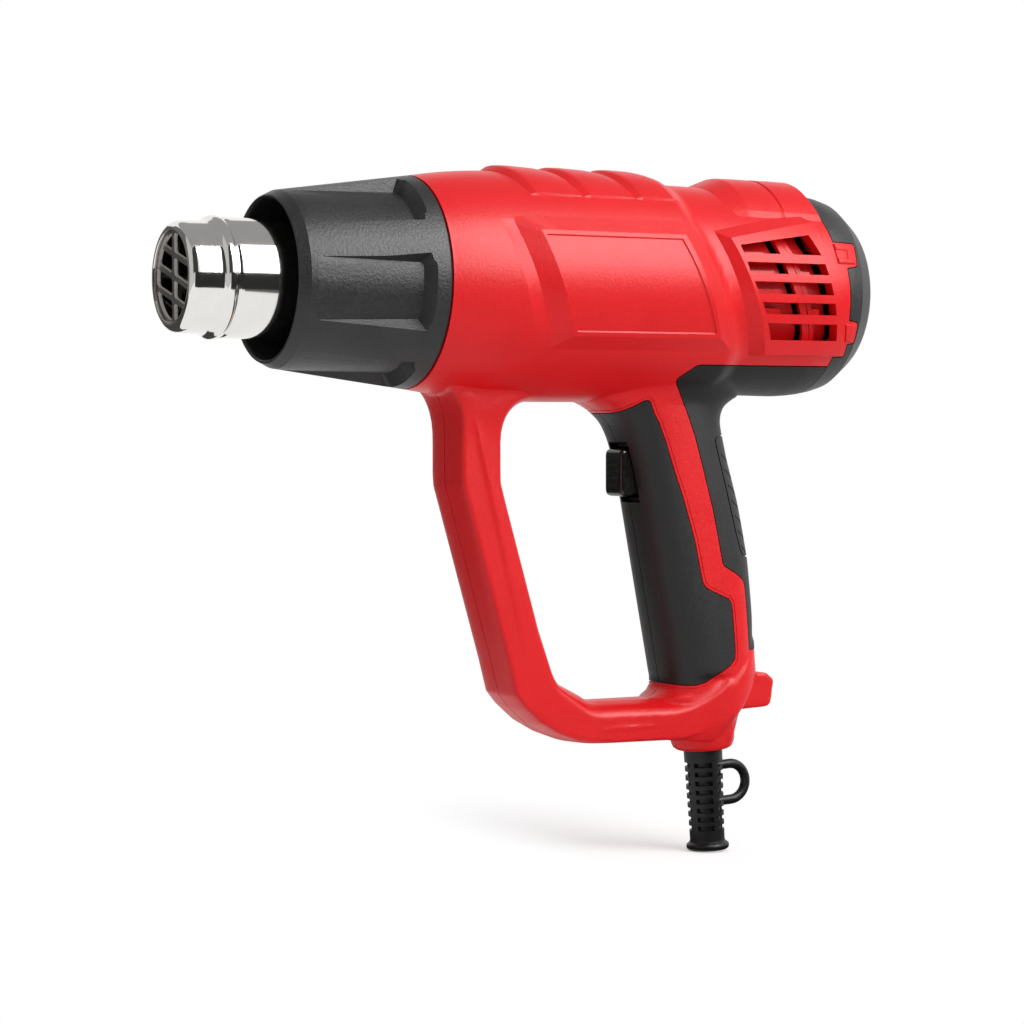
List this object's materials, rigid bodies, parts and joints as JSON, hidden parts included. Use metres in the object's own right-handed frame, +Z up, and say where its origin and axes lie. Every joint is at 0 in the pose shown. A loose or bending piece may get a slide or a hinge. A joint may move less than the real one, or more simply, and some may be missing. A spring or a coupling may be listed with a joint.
{
  "type": "hot air tool",
  "caption": "Hand-held hot air tool with a fluted guard, steel outlet nozzle, leaning grip inside a loop guard, rocker switch, side vents and a slotted strain relief.",
  "frame": {"origin": "where the axis of the barrel meets the flat rear face that the tool stands on", "axes": "+X backwards along the barrel, so the nozzle points along -X; +Z up, away from the grip; +Y to the side that the case screws are driven from"},
  "size_m": [0.237, 0.0746, 0.2243],
  "materials": {
    "red_plastic": "satin moulded, fine grain",
    "soft_pad": "matt soft-touch",
    "black_plastic": "fine grain",
    "sleeve_rubber": "matt",
    "gloss_key": "gloss",
    "polished_steel": "polished",
    "zinc_steel": "zinc plated",
    "mica": "sheet mica",
    "steatite": "unglazed",
    "bronze": "sintered",
    "copper_winding": "varnished winding on iron",
    "board": "solder mask",
    "terminal_plastic": "moulded",
    "lead_red": "glass sleeve",
    "lead_black": "glass sleeve"
  },
  "bodies": {
    "body": {"housing_left": "red_plastic", "housing_right": "red_plastic", "grip_pad_left": "soft_pad", "grip_pad_right": "soft_pad", "back_pad_left": "soft_pad", "back_pad_right": "soft_pad", "rear_cap": "black_plastic", "heat_guard": "black_plastic", "nozzle_tube": "polished_steel", "nozzle_grille": "zinc_steel", "cord_sleeve": "sleeve_rubber", "mica_sleeve": "mica", "element_former": "mica", "heating_coil": "zinc_steel", "heater_base": "steatite", "thermal_cutout": "zinc_steel", "fan_shroud": "black_plastic", "motor_mount": "black_plastic", "motor_can": "zinc_steel", "motor_end_bell": "black_plastic", "motor_front_bush": "bronze", "motor_rear_bush": "bronze", "switch_body": "black_plastic", "rocker_pin": "polished_steel", "circuit_board": "board", "bridge_rectifier": "black_plastic", "capacitor": "black_plastic", "terminal_block": "terminal_plastic", "cord_clamp": "black_plastic", "clamp_screw_front": "zinc_steel", "clamp_screw_rear": "zinc_steel", "heater_lead_left": "lead_red", "heater_lead_right": "lead_black", "case_screw_barrel": "zinc_steel", "case_screw_rear": "zinc_steel", "case_screw_loop_top": "zinc_steel", "case_screw_loop_corner": "zinc_steel", "case_screw_bar": "zinc_steel", "case_screw_grip": "zinc_steel"},
    "rocker": {"rocker": "gloss_key"},
    "fan": {"fan_impeller": "black_plastic", "motor_shaft": "polished_steel", "motor_armature": "copper_winding"}
  },
  "joints": [
    {"name": "rocker_tilt", "type": "hinge", "parent": "body", "child": "rocker", "pos_m": [-0.07612, 0, -0.06], "axis": [0, -1, 0], "range_deg": [0, 22]},
    {"name": "fan_spin", "type": "hinge", "parent": "body", "child": "fan", "pos_m": [-0.08, 0, 0], "axis": [1, 0, 0], "continuous": true}
  ]
}
